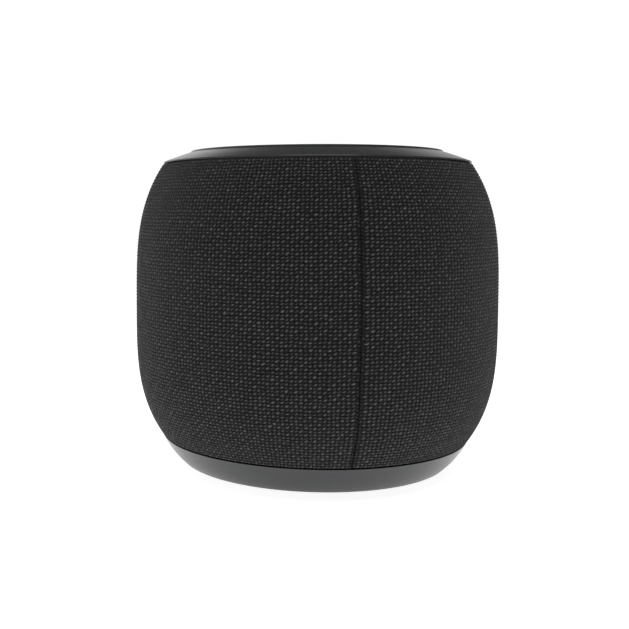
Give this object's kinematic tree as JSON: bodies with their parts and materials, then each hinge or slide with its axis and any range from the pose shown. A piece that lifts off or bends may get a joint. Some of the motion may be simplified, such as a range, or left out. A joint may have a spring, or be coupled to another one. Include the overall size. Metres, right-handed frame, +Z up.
{
  "type": "smart speaker",
  "caption": "Round cloth-covered smart speaker: woven sleeve between satin trim rings, control top with light ring and buttons, downward woofer and side passive radiators inside.",
  "frame": {"origin": "middle of the foot's underside, on the surface the speaker stands on", "axes": "+Z up; +Y is the rear, where the cloth's seam and the cord channel are; -Y is the front"},
  "size_m": [0.12, 0.12, 0.1058],
  "materials": {
    "cloth": "coarse plain weave, matt black",
    "trim": "satin dark grey",
    "shell": "fine textured black",
    "rubber": "matt black",
    "panel": "soft-touch black",
    "diffuser": "milky",
    "board": "solder mask",
    "steel": "zinc plated",
    "tin": "tinned",
    "aluminium": "plain",
    "copper": "enamelled copper",
    "ferrite": "ground ceramic magnet",
    "paper": "pressed paper pulp",
    "spider": "resin-dipped cotton",
    "foam": "closed-cell foam",
    "ribbon": "white film and nylon"
  },
  "bodies": {
    "housing": {"acoustic_enclosure": "shell", "action_switch": "ferrite", "baffle_plate": "shell", "base_plate": "shell", "base_screw_1": "steel", "base_screw_2": "steel", "base_screw_3": "steel", "base_screw_4": "steel", "bottom_ring": "trim", "clamp_screw_1": "steel", "clamp_screw_2": "steel", "clamp_screw_3": "steel", "control_board": "board", "control_deck": "shell", "deck_screw_1": "steel", "deck_screw_2": "steel", "enclosure_seal": "foam", "fabric_sleeve": "cloth", "grille_frame": "shell", "heat_spreader": "aluminium", "inlet_board": "board", "left_mic_seal": "rubber", "left_microphone": "tin", "left_radiator_frame": "shell", "left_radiator_surround": "rubber", "light_board": "board", "light_ring": "diffuser", "main_board": "board", "mic_mute_switch": "ferrite", "power_inlet": "tin", "radio_aerial": "copper", "radio_shield": "tin", "ribbon_cable": "ribbon", "right_mic_seal": "rubber", "right_microphone": "tin", "right_radiator_frame": "shell", "right_radiator_surround": "rubber", "rubber_foot": "rubber", "sound_deflector": "shell", "speaker_lead": "rubber", "speaker_plug": "ribbon", "top_panel": "panel", "top_ring": "trim", "volume_down_switch": "ferrite", "volume_up_switch": "ferrite", "woofer_basket": "steel", "woofer_magnet": "ferrite", "woofer_spider": "spider", "woofer_surround": "rubber", "woofer_top_plate": "steel", "woofer_yoke": "steel"},
    "woofer_moving": {"woofer_cone": "paper", "voice_coil": "copper", "dust_cap": "paper"},
    "left_radiator": {"left_radiator_plate": "aluminium"},
    "right_radiator": {"right_radiator_plate": "aluminium"},
    "volume_up": {"volume_up_button": "panel"},
    "volume_down": {"volume_down_button": "panel"},
    "mic_mute": {"mic_mute_button": "panel"},
    "action": {"action_button": "panel"}
  },
  "joints": [
    {"name": "woofer_travel", "type": "slide", "parent": "housing", "child": "woofer_moving", "axis": [0, 0, -1], "range_m": [-0.002, 0.002], "stiffness_N_per_m": 1000, "deforming": ["woofer_surround", "woofer_spider"]},
    {"name": "left_radiator_travel", "type": "slide", "parent": "housing", "child": "left_radiator", "axis": [-1, 0, 0], "range_m": [-0.0036, 0.0036], "stiffness_N_per_m": 300},
    {"name": "right_radiator_travel", "type": "slide", "parent": "housing", "child": "right_radiator", "axis": [1, 0, 0], "range_m": [-0.0036, 0.0036], "stiffness_N_per_m": 300},
    {"name": "volume_up_press", "type": "slide", "parent": "housing", "child": "volume_up", "axis": [0, 0, -1], "range_m": [0, 0.0005], "stiffness_N_per_m": 2500},
    {"name": "volume_down_press", "type": "slide", "parent": "housing", "child": "volume_down", "axis": [0, 0, -1], "range_m": [0, 0.0005], "stiffness_N_per_m": 2500},
    {"name": "mic_mute_press", "type": "slide", "parent": "housing", "child": "mic_mute", "axis": [0, 0, -1], "range_m": [0, 0.0005], "stiffness_N_per_m": 2500},
    {"name": "action_press", "type": "slide", "parent": "housing", "child": "action", "axis": [0, 0, -1], "range_m": [0, 0.0005], "stiffness_N_per_m": 2500}
  ],
  "couplings": [
    {"joint": "left_radiator_travel", "follows": "woofer_travel", "ratio": -1.75},
    {"joint": "right_radiator_travel", "follows": "woofer_travel", "ratio": -1.75}
  ]
}
